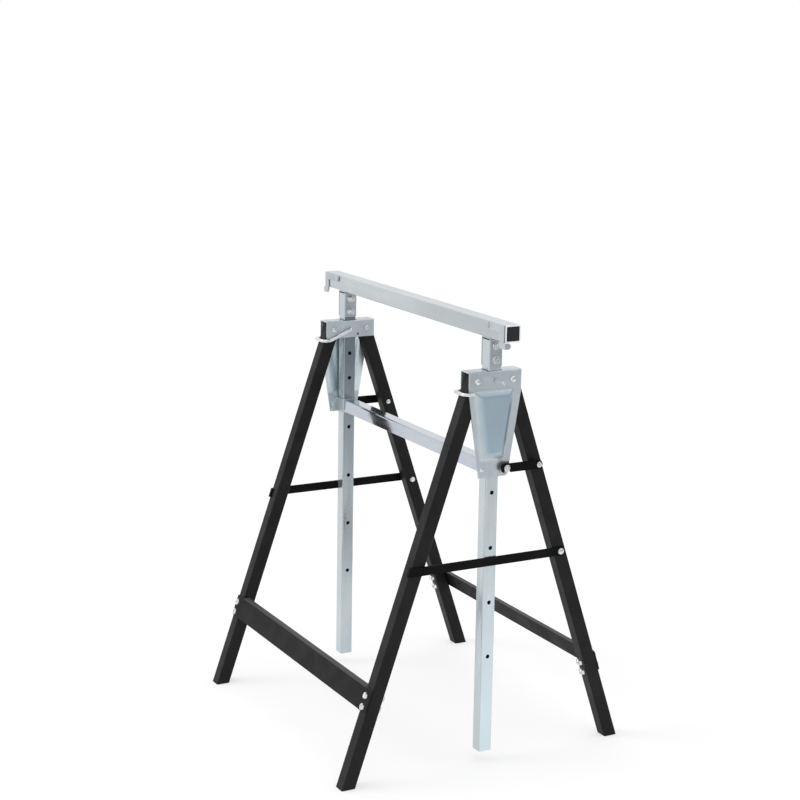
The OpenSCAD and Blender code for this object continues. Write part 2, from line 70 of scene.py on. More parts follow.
# Bare sawn steel on the bar's ends, painted near-white as a highlight on the rim
SAWN_EDGE_AND_HIGHLIGHT = (0.92, 0.93, 0.94, 1.0)
SAWN_ROUGH = 0.65
SAWN_METAL = 0.1
BOLT_PALE = (0.88, 0.89, 0.90, 1.0)
BOLT_DULL = (0.46, 0.48, 0.50, 1.0)
ROD_PALE = (0.86, 0.87, 0.88, 1.0)
ROD_DULL = (0.62, 0.64, 0.66, 1.0)
COAT_DEEP = (0.0080, 0.0080, 0.0084, 1.0)
COAT_WORN = (0.0135, 0.0135, 0.0140, 1.0)
COAT_GRIT = (0.0300, 0.0300, 0.0310, 1.0)
COAT_DUST = (0.0800, 0.0800, 0.0810, 1.0)
FLAT_DEEP = (0.0025, 0.0028, 0.0028, 1.0)
FLAT_WORN = (0.0060, 0.0064, 0.0064, 1.0)
PLASTIC_DEEP = (0.016, 0.017, 0.021, 1.0)
PLASTIC_PALE = (0.026, 0.027, 0.034, 1.0)

# Which nodes carry which finish
FINISHES = {
    "zinc_head": ["left_head", "right_head", "left_guide", "right_guide"],
    "zinc_fitting": ["left_bracket", "right_bracket", "left_stop", "right_stop", "stop_rivets"],
    "zinc_rail": ["cross_rail"],
    "zinc_bar": ["top_bar"],
    "zinc_post": ["left_post", "right_post"],
    "bright_bolt": [
        "guide_rivets", "link_studs", "leg_pivot_bolts", "bracket_bolts",
        "front_rail_bolts", "rear_rail_bolts", "strap_bolts", "link_bolts",
    ],
    "bright_rod": ["left_lock_pin", "right_lock_pin"],
    "black_coat": ["left_front_leg", "right_front_leg", "left_rear_leg", "right_rear_leg"],
    "black_rail": ["front_rail", "rear_rail"],
    "black_flat": ["left_strap", "right_strap", "left_link", "right_link"],
    "black_plastic": ["bar_end_caps", "front_foot_plugs", "rear_foot_plugs"],
}
FINISH_OF = {node: finish for finish, nodes in FINISHES.items() for node in nodes}
BODY_OF = {
    node: body
    for body, nodes in frame["record"]["behaviour"]["bodies"].items()
    for node in nodes
}

# Places, in metres, in the shared frame
MM = 0.001
POST_X = 281 * MM
HALF_TUBE = 12.5 * MM
PLATE_IN = 294 * MM
PLATE_OUT = 296 * MM
FLANGE_OUT = 266 * MM
SHEET = 2 * MM
PIN_Z = 698 * MM
PIVOT_Y = 35.5 * MM
RIVET_Y = 23 * MM
RIVET_Z = 542 * MM
SPLAY = math.radians(18.703)
RAIL_Z = 148 * MM
RAIL_BOLT_DROP = 2 * MM
RAIL_BOLT_STEP = 10 * MM
RAIL_FACE = 14.5 * MM
RAIL_GRIP = 27 * MM
RAIL_FREE_EDGE = 219 * MM
RAIL_EDGE_RISE = 3 * MM
BAR_MID = 788 * MM
BAR_BORE = 13.6 * MM
BORE_SHARE = 0.94
BRACKET_FACE = 15 * MM
BRACKET_BOLT_Z = (733 * MM, 758.5 * MM)
STOP_FACE = -17.3 * MM
STOP_PIVOT_X = 294 * MM
STOP_PIVOT_Z = 796 * MM
STRAP_Y = 145.188 * MM
STRAP_Z = 374 * MM
STRAP_HEAD = 297.1 * MM
LINK_Y = 88.3127 * MM
LINK_HEAD = 304.9 * MM
LINK_COLLAR = 301.3 * MM
STUD_OUT = 306.9 * MM

# Pocket of a head
POCKET_TOP = 682 * MM
POCKET_LOW = 558 * MM
POCKET_HALF_TOP = 41 * MM
POCKET_HALF_LOW = 23 * MM
POCKET_SLACK = 2 * MM
POCKET_MARGIN = 0.05
POCKET_SOFT = 2.9 * MM
POCKET_BEND = math.radians(12.0)
WALL_FROM = 0.7
REAR_WALL_STEP = 3 * MM
FRONT_WALL_STEP = (4.5 * MM, 2.0 * MM)

# Locking pin route
PIN_ROD = 3.25 * MM
PIN_TIP_X = 326 * MM
PIN_INNER_X = 261.45 * MM
PIN_OUTER_X = 299.55 * MM
PIN_BEND = 4.25 * MM
PIN_CORNER_Y = -46 * MM
PIN_FRONT_Y = -62 * MM
PIN_END_Y = -43.5 * MM
PIN_DROP = 20.5 * MM
PIN_LOOP = 9 * MM
PIN_CORNER_RUN = 5 * MM
PIN_CORNER_STEPS = 4
PIN_TIP_SOFT = 1.2 * MM

# Fastener sizes
BOLT_R = 4 * MM
THREAD_STEP = 1.25 * MM
THREAD_DEPTH = 0.5 * MM
THREAD_POINT = 0.8 * MM
ROUND_SIDES = 32
DOME_STEPS = 6
DOME_RIM = 0.25
DOME_TIP = 0.02
WASHER_SOFT = 0.3
SINK = 0.5 * MM
RIVET_R = 2.5 * MM
RIVET_HEAD_R = 4.5 * MM
RIVET_HEAD_RISE = 2 * MM
RIVET_TAIL_R = 4 * MM
RIVET_TAIL_RISE = 1.5 * MM
RIVET_GRIP = 4 * MM
RIVET_RIM = 0.2
PIVOT_HEAD_R = 5.75 * MM
PIVOT_NUT = 11 * MM
PIVOT_NUT_HIGH = 4 * MM
PIVOT_THREAD = (3 * MM, 5 * MM)
BRACKET_WASHER_R = 7.5 * MM
BRACKET_WASHER = 1.2 * MM
BRACKET_HEX = 12 * MM
BRACKET_HEAD_TOP = 6 * MM
BRACKET_HEAD_DISH = 0.5 * MM
BRACKET_NUT_TOP = 7.2 * MM
BRACKET_OVERLAP = 2 * MM
BRACKET_THREAD = (2 * MM, 9 * MM)
STOP_RIVET_R = 3 * MM
STOP_RIVET_HEAD_R = 5 * MM
STOP_RIVET_GAP = 0.3 * MM
STOP_RIVET_RISE = 1.1 * MM
STOP_RIVET_RIM = 0.3
STOP_RIVET_SHANK = (-4.8 * MM, 0.6 * MM)
RAIL_HEAD = 11.5 * MM
RAIL_HEAD_HIGH = 5 * MM
RAIL_HEAD_DISH = 0.7 * MM
RAIL_NUT = 13 * MM
RAIL_NUT_HIGH = 6 * MM
RAIL_THREAD = (1 * MM, 8 * MM)
STRAP_HEAD_R = 6 * MM
STRAP_NUT = 10.5 * MM
STRAP_NUT_HIGH = 5.5 * MM
STRAP_THREAD = (1 * MM, 7 * MM)
DOME_RISE = 3.5 * MM
NUT_OVERLAP = 1 * MM
LINK_BOLT_R = 3 * MM
LINK_COLLAR_R = 5 * MM
LINK_TAIL_R = 4.7 * MM
LINK_TAIL_RISE = 2.5 * MM
LINK_TAIL_RIM = 0.3

# Turned outlines in millimetres: radius, and height from the seat or from the stud's end
STUD_HEAD = ((5.6, -2.0), (6.0, -1.6), (6.0, -1.0), (5.2, -0.3), (4.2, 0.0), (2.6, 0.0), (2.2, -0.9))
STUD_TAIL = ((4.6, -5.5), (5.0, -5.1), (5.0, -4.0))
STUD_NECK = 1 * MM
LINK_BOLT_HEAD = ((5.5, 0.0), (5.5, 1.2), (5.0, 2.4), (4.0, 3.0), (2.2, 3.0), (1.8, 1.6))

# Shares of a hexagon's width or height
HEX_CUTS = 3
HEX_SHOULDER = 0.80
HEX_TOP = 0.475
HEX_DISH_RIM = 0.17
HEX_DISH_TAPER = 0.86

# Broken edges and smoothing
SHEET_SOFT = 0.35 * MM
TUBE_SOFT = 0.4 * MM
FLAT_SOFT = 0.5 * MM
PLUG_SOFT = 0.3 * MM
BAR_SOFT = 0.45 * MM
CAP_SOFT = 0.2 * MM
FOLD_ANGLE = 40.0
CAP_ANGLE = 50.0
CUT_ANGLE = 60.0
SMOOTH_ANGLE = math.radians(32.0)
FLAT_ANGLE = math.radians(0.5)
MERGE = 0.01 * MM

# Panel in a bar's end cap
CAP_RIM = 1.2 * MM
CAP_SLOPE = 0.35 * MM
CAP_DEPTH = 0.8 * MM
CAP_FACE = 0.1 * MM
CAP_SQUARE = 0.99

# Where the tones of a finish, painted light and shade among them, begin and end, and how strong they are
POCKET_FLOOR = (296.6 * MM, 300.4 * MM)
POCKET_SHARE = 0.75
SAWN_END = (349.0 * MM, 349.5 * MM)
BAR_FRONT = (-14.9 * MM, -14.1 * MM)
# Run and strength of the painted dark reflection on the bar's front face
BAR_REFLECTION_RUN = (-20 * MM, 80 * MM)
BAR_REFLECTION_SHARE = 0.45
WALL_Z = (560 * MM, 680 * MM)
WALL_Y = (16.4 * MM, 33.8 * MM)
WALL_WIDTH = (1.4 * MM, 5.4 * MM)
WALL_SHARE = 0.9
WALL_LOW = (570 * MM, 592 * MM)
WALL_HIGH = (652 * MM, 674 * MM)
FOOT_RUN = (80 * MM, 420 * MM)
FOOT_SHARE = 0.9
# Heights and strength of the painted shade on the posts' inner faces
POST_SHADE_RUN = (180 * MM, 640 * MM)
POST_SHADE_SHARE = 0.92
PLATE_INSIDE = (285 * MM, 290 * MM)
ABOVE_GUIDE = (562 * MM, 568 * MM)
FACING_IN = (-0.9, -0.6)
FACING_OUT = (0.6, 0.9)
FACING_UP = (0.70, 0.92)
NONE_TO_ALL = (0.0, 1.0)
ALL_TO_NONE = (1.0, 0.0)

# Grain of the finishes: scale, detail and roughness of a noise, and where it turns into a share
SPANGLE_SCALE = 420.0
CLOUD_GRAIN = (14.0, 4.0, 0.55)
STREAK_GRAIN = (90.0, 3.0, 0.55)
PEEL_GRAIN = (900.0, 2.0, 0.5)
RUB_GRAIN = (22.0, 5.0, 0.62)
DUST_GRAIN = (260.0, 2.0, 0.7)
CLOUD_EDGE = (0.32, 0.70)
STREAK_EDGE = (0.30, 0.72)
RUB_EDGE = (0.42, 0.74)
DUST_EDGE = (0.60, 0.80)
PEEL_EDGE = (0.3, 0.7)
SPANGLE_SHARE = 0.08
STREAK_SHARE = 0.20
GRIT_SHARE = 0.25
DUST_SHARE = (0.6, 1.0)
ALL_WAYS = (1.0, 1.0, 1.0)
ALONG_BAR = (0.05, 1.0, 1.0)
UPRIGHT = (1.0, 1.0, 0.06)
DOWN_PLATE = (1.0, 1.0, 0.3)
BOLT_CLOUDS = 16.0
BOLT_STREAKS = 4.0
ROD_CLOUDS = 3.0
PLASTIC_STRETCH = 1.6

# Roughness over a grain, bump as strength and depth, and how metallic and shiny a finish is
HEAD_POLISH = (0.26, 0.38)
FITTING_POLISH = (0.18, 0.36)
RAIL_POLISH = (0.05, 0.12)
BAR_POLISH = (0.18, 0.30)
POST_POLISH = (0.16, 0.28)
BOLT_POLISH = (0.12, 0.24)
COAT_POLISH = (0.52, 0.40)
PLASTIC_POLISH = (0.48, 0.62)
ZINC_BUMP = (0.04, 0.3 * MM)
BOLT_BUMP = (0.05, 0.2 * MM)
COAT_BUMP = (0.18, 0.3 * MM)
PLASTIC_BUMP = (0.3, 0.3 * MM)
ZINC_METAL = 0.85
RAIL_METAL = 0.96
BOLT_METAL = 0.95
METAL_SHINE = 0.5
LEG_SHINE = 0.16
RAIL_SHINE = 0.10
FLAT_SHINE = 0.08
PLASTIC_SHINE = 0.25


# Node tree helpers
def add_node(tree, kind, **values):
    node = tree.nodes.new(kind)
    for name, value in values.items():
        setattr(node, name, value)
    return node


def feed(tree, source, target):
    tree.links.new(source, target)


def new_group(name, inputs, outputs):
    group = bpy.data.node_groups.new(name, "ShaderNodeTree")
    for label, kind, value in inputs:
        socket = group.interface.new_socket(label, in_out="INPUT", socket_type=kind)
        socket.default_value = value
    for label, kind in outputs:
        group.interface.new_socket(label, in_out="OUTPUT", socket_type=kind)
    return group, group.nodes.new("NodeGroupInput"), group.nodes.new("NodeGroupOutput")


def set_or_feed(tree, value, socket):
    if isinstance(value, bpy.types.NodeSocket):
        feed(tree, value, socket)
    else:
        socket.default_value = value


def mix_colour(tree, factor, first, second):
    node = add_node(tree, "ShaderNodeMix", data_type="RGBA")
    set_or_feed(tree, factor, node.inputs[0])
    set_or_feed(tree, first, node.inputs[6])
    set_or_feed(tree, second, node.inputs[7])
    return node.outputs[2]


def maths(tree, operation, first, second):
    node = add_node(tree, "ShaderNodeMath", operation=operation)
    set_or_feed(tree, first, node.inputs[0])
    set_or_feed(tree, second, node.inputs[1])
    return node.outputs[0]


def ranged(tree, value, low, high, out_low, out_high, course="LINEAR"):
    node = add_node(tree, "ShaderNodeMapRange", interpolation_type=course)
    feed(tree, value, node.inputs[0])
    for index, number in enumerate((low, high, out_low, out_high)):
        node.inputs[index + 1].default_value = number
    return node.outputs[0]


def noise(tree, place, scale, detail, rough):
    node = add_node(tree, "ShaderNodeTexNoise")
    feed(tree, place, node.inputs["Vector"])
    node.inputs["Scale"].default_value = scale
    node.inputs["Detail"].default_value = detail
    node.inputs["Roughness"].default_value = rough
    return node.outputs["Fac"]


def stretched(tree, place, scale):
    node = add_node(tree, "ShaderNodeMapping")
    feed(tree, place, node.inputs["Vector"])
    node.inputs["Scale"].default_value = scale
    return node.outputs[0]


# Effects that several finishes share
def zinc_cloud_group():
    """Soft clouds, fine spangle and faint marks of a plated surface."""
    group, start, end = new_group(
        "zinc_cloud",
        [("Place", "NodeSocketVector", (0, 0, 0)), ("Streaks", "NodeSocketVector", (0, 0, 0))],
        [("Cloud", "NodeSocketFloat"), ("Spangle", "NodeSocketFloat"), ("Streak", "NodeSocketFloat")],
    )
    clouds = noise(group, start.outputs["Place"], *CLOUD_GRAIN)
    cloud = ranged(group, clouds, *CLOUD_EDGE, *NONE_TO_ALL)
    cell = add_node(group, "ShaderNodeTexVoronoi", feature="F1")
    feed(group, start.outputs["Place"], cell.inputs["Vector"])
    cell.inputs["Scale"].default_value = SPANGLE_SCALE
    spangle = ranged(group, cell.outputs["Color"], *NONE_TO_ALL, *NONE_TO_ALL)
    streaks = noise(group, start.outputs["Streaks"], *STREAK_GRAIN)
    streak = ranged(group, streaks, *STREAK_EDGE, *NONE_TO_ALL)
    feed(group, cloud, end.inputs["Cloud"])
    feed(group, spangle, end.inputs["Spangle"])
    feed(group, streak, end.inputs["Streak"])
    return group


def coat_grain_group():
    """Orange peel, fine grit and rubbed patches of a baked powder coat."""
    group, start, end = new_group(
        "coat_grain",
        [("Place", "NodeSocketVector", (0, 0, 0))],
        [("Peel", "NodeSocketFloat"), ("Rub", "NodeSocketFloat"), ("Dust", "NodeSocketFloat")],
    )
    peel = noise(group, start.outputs["Place"], *PEEL_GRAIN)
    patches = noise(group, start.outputs["Place"], *RUB_GRAIN)
    rub = ranged(group, patches, *RUB_EDGE, *NONE_TO_ALL)
    specks = noise(group, start.outputs["Place"], *DUST_GRAIN)
    dust = ranged(group, specks, *DUST_EDGE, *NONE_TO_ALL)
    feed(group, peel, end.inputs["Peel"])
    feed(group, rub, end.inputs["Rub"])
    feed(group, dust, end.inputs["Dust"])
    return group


GROUPS = {"zinc_cloud": zinc_cloud_group(), "coat_grain": coat_grain_group()}


def use_group(tree, name):
    node = tree.nodes.new("ShaderNodeGroup")
    node.node_tree = GROUPS[name]
    return node


def new_material(name, metallic, specular):
    material = bpy.data.materials.new(name)
    material.use_nodes = True
    tree = material.node_tree
    shader = tree.nodes["Principled BSDF"]
    shader.inputs["Metallic"].default_value = metallic
    shader.inputs["Specular IOR Level"].default_value = specular
    place = tree.nodes.new("ShaderNodeTexCoord").outputs["Object"]
    return material, tree, shader, place


def bump(tree, shader, height, strength, depth):
    node = tree.nodes.new("ShaderNodeBump")
    node.inputs["Strength"].default_value = strength
    node.inputs["Distance"].default_value = depth
    feed(tree, height, node.inputs["Height"])
    feed(tree, node.outputs["Normal"], shader.inputs["Normal"])


def along_axes(tree, place):
    split = tree.nodes.new("ShaderNodeSeparateXYZ")
    feed(tree, place, split.inputs[0])
    return split.outputs["X"], split.outputs["Y"], split.outputs["Z"]


def times(tree, first, second):
    return maths(tree, "MULTIPLY", first, second)


def far_from_middle(tree, place, run):
    """0 to 1 between two distances from the middle of the trestle, along the bar."""
    x = along_axes(tree, place)[0]
    return ranged(tree, maths(tree, "ABSOLUTE", x, 0.0), *run, *NONE_TO_ALL)


def facing(tree):
    return along_axes(tree, tree.nodes.new("ShaderNodeTexCoord").outputs["Normal"])


def away_from_middle(tree, place):
    """1 on faces that look away from the middle of the trestle, -1 on faces that look towards it."""
    side = maths(tree, "SIGN", along_axes(tree, place)[0], 0.0)
    return times(tree, facing(tree)[0], side)


def pocket_face(tree, place):
    """A share on the raised floor of a head's pocket, where the clouds still show."""
    return times(tree, far_from_middle(tree, place, POCKET_FLOOR), POCKET_SHARE)


def cut_end(tree, place):
    """1 on the sawn ends of the bar, where bare steel shows with a painted highlight."""
    return far_from_middle(tree, place, SAWN_END)


def painted_reflection_stretch(tree, place):
    """Painted dark reflection: a darker share on the bar's front face, growing towards +x."""
    x, y = along_axes(tree, place)[:2]
    front = ranged(tree, y, *BAR_FRONT, *ALL_TO_NONE)
    return times(tree, front, ranged(tree, x, *BAR_REFLECTION_RUN, 0.0, BAR_REFLECTION_SHARE))


def painted_wall_shade(tree, place):
    """Painted shade: a darker share along the rear wall of a head's pocket, in its crease."""
    y, z = along_axes(tree, place)[1:]
    offset = maths(tree, "SUBTRACT", y, ranged(tree, z, *WALL_Z, *WALL_Y))
    mark = ranged(tree, maths(tree, "ABSOLUTE", offset, 0.0), *WALL_WIDTH, WALL_SHARE, 0.0)
    mark = times(tree, mark, ranged(tree, z, *WALL_LOW, *NONE_TO_ALL))
    return times(tree, mark, ranged(tree, z, *WALL_HIGH, *ALL_TO_NONE))


def painted_light_inside(tree, place):
    """Painted light: 1 on the inner side of a head's outer plate, above the guide, lightening the shade
    inside the head.
    """
    inner = ranged(tree, away_from_middle(tree, place), *FACING_IN, *ALL_TO_NONE)
    plate = times(tree, inner, far_from_middle(tree, place, PLATE_INSIDE))
    return times(tree, plate, ranged(tree, along_axes(tree, place)[2], *ABOVE_GUIDE, *NONE_TO_ALL))


def painted_shade_inner_face(tree, place):
    """Painted shade: a darker share on a post's inner face, strongest up inside the head and fading
    downwards.
    """
    inner = ranged(tree, away_from_middle(tree, place), *FACING_IN, *ALL_TO_NONE)
    return times(tree, inner, ranged(tree, along_axes(tree, place)[2], *POST_SHADE_RUN, 0.0, POST_SHADE_SHARE))


def painted_reflection_foot(tree, place):
    """Painted reflection of the bright floor: a paler share on a post's outer face, fading upwards from its
    foot.
    """
    outer = ranged(tree, away_from_middle(tree, place), *FACING_OUT, *NONE_TO_ALL)
    return times(tree, outer, ranged(tree, along_axes(tree, place)[2], *FOOT_RUN, FOOT_SHARE, 0.0))


def zinc(name, pale, cloudy, dull, streak_scale, polish, marks=(), metal=ZINC_METAL, sawn=None):
    """Plated steel: pale ground with clouds, duller spots and marks along the piece, some of them painted
    light and shade.
    """
    material, tree, shader, place = new_material(name, metal, METAL_SHINE)
    cloud = use_group(tree, "zinc_cloud")
    feed(tree, place, cloud.inputs["Place"])
    feed(tree, stretched(tree, place, streak_scale), cloud.inputs["Streaks"])
    colour = mix_colour(tree, cloud.outputs["Cloud"], pale, cloudy)
    dulling = times(tree, cloud.outputs["Spangle"], SPANGLE_SHARE)
    colour = mix_colour(tree, dulling, colour, dull)
    shade = ranged(tree, cloud.outputs["Streak"], *NONE_TO_ALL, 0.0, STREAK_SHARE)
    colour = mix_colour(tree, shade, colour, dull)
    for mark, tint in marks:
        colour = mix_colour(tree, mark(tree, place), colour, tint)
    feed(tree, colour, shader.inputs["Base Color"])
    rough = ranged(tree, cloud.outputs["Streak"], *NONE_TO_ALL, *polish)
    if sawn:
        edge = sawn(tree, place)
        rough = maths(tree, "MAXIMUM", rough, times(tree, edge, SAWN_ROUGH))
        feed(tree, ranged(tree, edge, *NONE_TO_ALL, metal, SAWN_METAL), shader.inputs["Metallic"])
    feed(tree, rough, shader.inputs["Roughness"])
    bump(tree, shader, cloud.outputs["Streak"], *ZINC_BUMP)
    return material


def bright_zinc(name, pale, dull, cloud_scale):
    """Bright zinc on bolts, rivets and bent rod."""
    material, tree, shader, place = new_material(name, BOLT_METAL, METAL_SHINE)
    cloud = use_group(tree, "zinc_cloud")
    feed(tree, stretched(tree, place, (cloud_scale,) * 3), cloud.inputs["Place"])
    feed(tree, stretched(tree, place, (BOLT_STREAKS,) * 3), cloud.inputs["Streaks"])
    colour = mix_colour(tree, cloud.outputs["Cloud"], pale, dull)
    feed(tree, colour, shader.inputs["Base Color"])
    rough = ranged(tree, cloud.outputs["Streak"], *NONE_TO_ALL, *BOLT_POLISH)
    feed(tree, rough, shader.inputs["Roughness"])
    bump(tree, shader, cloud.outputs["Spangle"], *BOLT_BUMP)
    return material


def upward(tree):
    """1 on faces that look up, where dust settles."""
    return ranged(tree, facing(tree)[2], *FACING_UP, *NONE_TO_ALL)


def black_coat(name, deep, worn, specular, dusty=False):
    """Satin black powder coat with orange peel, rubbed patches and a little grit."""
    material, tree, shader, place = new_material(name, 0.0, specular)
    grain = use_group(tree, "coat_grain")
    feed(tree, place, grain.inputs["Place"])
    colour = mix_colour(tree, grain.outputs["Rub"], deep, worn)
    grit = times(tree, grain.outputs["Dust"], GRIT_SHARE)
    colour = mix_colour(tree, grit, colour, COAT_GRIT)
    if dusty:
        film = ranged(tree, grain.outputs["Peel"], *PEEL_EDGE, *DUST_SHARE)
        settled = times(tree, upward(tree), film)
        colour = mix_colour(tree, settled, colour, COAT_DUST)
    feed(tree, colour, shader.inputs["Base Color"])
    rough = ranged(tree, grain.outputs["Rub"], *NONE_TO_ALL, *COAT_POLISH)
    feed(tree, rough, shader.inputs["Roughness"])
    bump(tree, shader, grain.outputs["Peel"], *COAT_BUMP)
    return material


def black_plastic():
    """Moulded black plastic with a fine matt grain."""
    material, tree, shader, place = new_material("black_plastic", 0.0, PLASTIC_SHINE)
    grain = use_group(tree, "coat_grain")
    feed(tree, stretched(tree, place, (PLASTIC_STRETCH,) * 3), grain.inputs["Place"])
    colour = mix_colour(tree, grain.outputs["Rub"], PLASTIC_DEEP, PLASTIC_PALE)
    feed(tree, colour, shader.inputs["Base Color"])
    rough = ranged(tree, grain.outputs["Peel"], *NONE_TO_ALL, *PLASTIC_POLISH)
    feed(tree, rough, shader.inputs["Roughness"])
    bump(tree, shader, grain.outputs["Peel"], *PLASTIC_BUMP)
    return material


FINISH = {
    "zinc_head": zinc(
        "zinc_head", HEAD_GREY, HEAD_PALE, HEAD_DULL, DOWN_PLATE, HEAD_POLISH,
        ((pocket_face, POCKET_BLUE), (painted_wall_shade, WALL_PAINTED_SHADE), (painted_light_inside, HEAD_PAINTED_LIGHT)),
    ),
    "zinc_fitting": zinc(
        "zinc_fitting", FITTING_PALE, FITTING_DULL, FITTING_DARK, ALL_WAYS, FITTING_POLISH,
    ),
    "zinc_rail": zinc(
        "zinc_rail", RAIL_PALE, RAIL_LILAC, RAIL_BLUE, ALONG_BAR, RAIL_POLISH, metal=RAIL_METAL,
    ),
    "zinc_bar": zinc(
        "zinc_bar", BAR_PALE, BAR_LILAC, BAR_DULL_AND_REFLECTION, ALONG_BAR, BAR_POLISH,
        ((painted_reflection_stretch, BAR_DULL_AND_REFLECTION), (cut_end, SAWN_EDGE_AND_HIGHLIGHT)), sawn=cut_end,
    ),
    "zinc_post": zinc(
        "zinc_post", POST_PALE, POST_BLUE, POST_DULL, UPRIGHT, POST_POLISH,
        ((painted_shade_inner_face, POST_PAINTED_SHADE), (painted_reflection_foot, POST_PAINTED_REFLECTION)),
    ),
    "bright_bolt": bright_zinc("bright_bolt", BOLT_PALE, BOLT_DULL, BOLT_CLOUDS),
    "bright_rod": bright_zinc("bright_rod", ROD_PALE, ROD_DULL, ROD_CLOUDS),
    "black_coat": black_coat("black_coat", COAT_DEEP, COAT_WORN, LEG_SHINE),
    "black_rail": black_coat("black_rail", COAT_DEEP, COAT_WORN, RAIL_SHINE, dusty=True),
    "black_flat": black_coat("black_flat", FLAT_DEEP, FLAT_WORN, FLAT_SHINE),
    "black_plastic": black_plastic(),
}


# Modelling helpers
def only(piece):
    bpy.ops.object.select_all(action="DESELECT")
    piece.select_set(True)
    bpy.context.view_layer.objects.active = piece


def apply_bevel(piece, width, segments, limit, angle=FOLD_ANGLE, clamp=True):
    only(piece)
    modifier = piece.modifiers.new("soft_edges", "BEVEL")
    modifier.width = width
    modifier.segments = segments
    modifier.limit_method = limit
    modifier.angle_limit = math.radians(angle)
    modifier.miter_outer = "MITER_ARC"
    modifier.use_clamp_overlap = clamp
    bpy.ops.object.modifier_apply(modifier=modifier.name)


def copy_of(node, name):
    """The node's solid as a merged mesh of flat faces, ready to be worked on."""
    piece = bpy.data.objects.new(name, frame["nodes"][node].data.copy())
    bpy.context.scene.collection.objects.link(piece)
    only(piece)
    bpy.ops.object.mode_set(mode="EDIT")
    bpy.ops.mesh.select_all(action="SELECT")
    bpy.ops.mesh.remove_doubles(threshold=MERGE)
    bpy.ops.mesh.dissolve_limited(angle_limit=FLAT_ANGLE)
    bpy.ops.object.mode_set(mode="OBJECT")
    return piece


def finished(piece, node):
    """Smooth it, give it its finish and let it stand for its node."""
    only(piece)
    bpy.ops.object.shade_smooth_by_angle(angle=SMOOTH_ANGLE)
    even = piece.modifiers.new("even_faces", "WEIGHTED_NORMAL")
    even.keep_sharp = True
    bpy.ops.object.modifier_apply(modifier=even.name)
    piece.data.materials.clear()
    piece.data.materials.append(FINISH[FINISH_OF[node]])
    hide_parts(node)
    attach(piece, BODY_OF[node])
    return piece


def softened(node, name, width, segments=2):
    """A cut and folded piece with its sharp edges broken."""
    piece = copy_of(node, name)
    apply_bevel(piece, width, segments, "ANGLE")
    return finished(piece, node)


def turned(profile, sides=ROUND_SIDES):
    """A closed form turned about Z from pairs of radius and height, lower face first."""
    radius, height = profile[0]
    bpy.ops.object.select_all(action="DESELECT")
    bpy.ops.mesh.primitive_circle_add(vertices=sides, radius=radius, fill_type="NGON")
    piece = bpy.context.object
    bpy.ops.object.mode_set(mode="EDIT")
    bpy.ops.transform.translate(value=(0.0, 0.0, height))
    for next_radius, next_height in profile[1:]:
        step = (0.0, 0.0, next_height - height)
        ratio = next_radius / radius
        bpy.ops.mesh.extrude_region_move(TRANSFORM_OT_translate={"value": step})
        bpy.ops.transform.resize(value=(ratio, ratio, 1.0), center_override=(0.0, 0.0, 0.0))
        radius, height = next_radius, next_height
    bpy.ops.mesh.select_all(action="SELECT")
    bpy.ops.mesh.normals_make_consistent(inside=False)
    bpy.ops.object.mode_set(mode="OBJECT")
    return piece


def hexed(across, low, high, dish=0.0):
    """A six-sided head or nut whose upper corners are turned off to a circle."""
    bpy.ops.object.select_all(action="DESELECT")
    bpy.ops.mesh.primitive_circle_add(vertices=6, radius=across / math.sqrt(3.0), fill_type="NGON")
    piece = bpy.context.object
    shoulder = low + (high - low) * HEX_SHOULDER
    bpy.ops.object.mode_set(mode="EDIT")
    bpy.ops.mesh.subdivide(number_cuts=HEX_CUTS)
    bpy.ops.transform.translate(value=(0.0, 0.0, low))
    bpy.ops.mesh.extrude_region_move(TRANSFORM_OT_translate={"value": (0.0, 0.0, shoulder - low)})
    bpy.ops.mesh.extrude_region_move(TRANSFORM_OT_translate={"value": (0.0, 0.0, high - shoulder)})
    form = bmesh.from_edit_mesh(piece.data)
    for vertex in form.verts:
        if vertex.select:
            reach = math.hypot(vertex.co.x, vertex.co.y)
            vertex.co.x *= across * HEX_TOP / reach
            vertex.co.y *= across * HEX_TOP / reach
    bmesh.update_edit_mesh(piece.data)
    if dish > 0.0:
        bpy.ops.mesh.inset(thickness=across * HEX_DISH_RIM)
        bpy.ops.mesh.extrude_region_move(TRANSFORM_OT_translate={"value": (0.0, 0.0, -dish)})
        taper = (HEX_DISH_TAPER, HEX_DISH_TAPER, 1.0)
        bpy.ops.transform.resize(value=taper, center_override=(0.0, 0.0, 0.0))
    bpy.ops.mesh.select_all(action="SELECT")
    bpy.ops.mesh.normals_make_consistent(inside=False)
    bpy.ops.object.mode_set(mode="OBJECT")
    return piece


def domed(radius, low, rise, rim=DOME_RIM):
    """A low round head: a short rim below a dome."""
    profile = [(radius, low), (radius, low + rise * rim)]
    for step in range(1, DOME_STEPS + 1):
        turn = math.radians(90.0 * step / DOME_STEPS)
        place = low + rise * (rim + (1.0 - rim) * math.sin(turn))
        profile.append((radius * max(math.cos(turn), DOME_TIP), place))
    return turned(profile)


def threaded(radius, low, high):
    """A bolt end with its thread and a pointed tip."""
    profile = [(radius, low)]
    place = low
    while place + THREAD_STEP < high - THREAD_STEP / 2:
        profile.append((radius - THREAD_DEPTH, place + THREAD_STEP / 2))
        profile.append((radius, place + THREAD_STEP))
        place += THREAD_STEP
    profile.append((radius, high - THREAD_DEPTH))
    profile.append((radius - THREAD_POINT, high))
    return turned(profile)


def washer(radius, low, high):
    soft = (high - low) * WASHER_SOFT
    return turned([(radius - soft, low), (radius, low + soft), (radius, high - soft), (radius - soft, high)])


def joined(pieces, name):
    bpy.ops.object.select_all(action="DESELECT")
    for piece in pieces:
        piece.select_set(True)
    bpy.context.view_layer.objects.active = pieces[0]
    bpy.ops.object.join()
    whole = bpy.context.object
    whole.name = name
    return whole


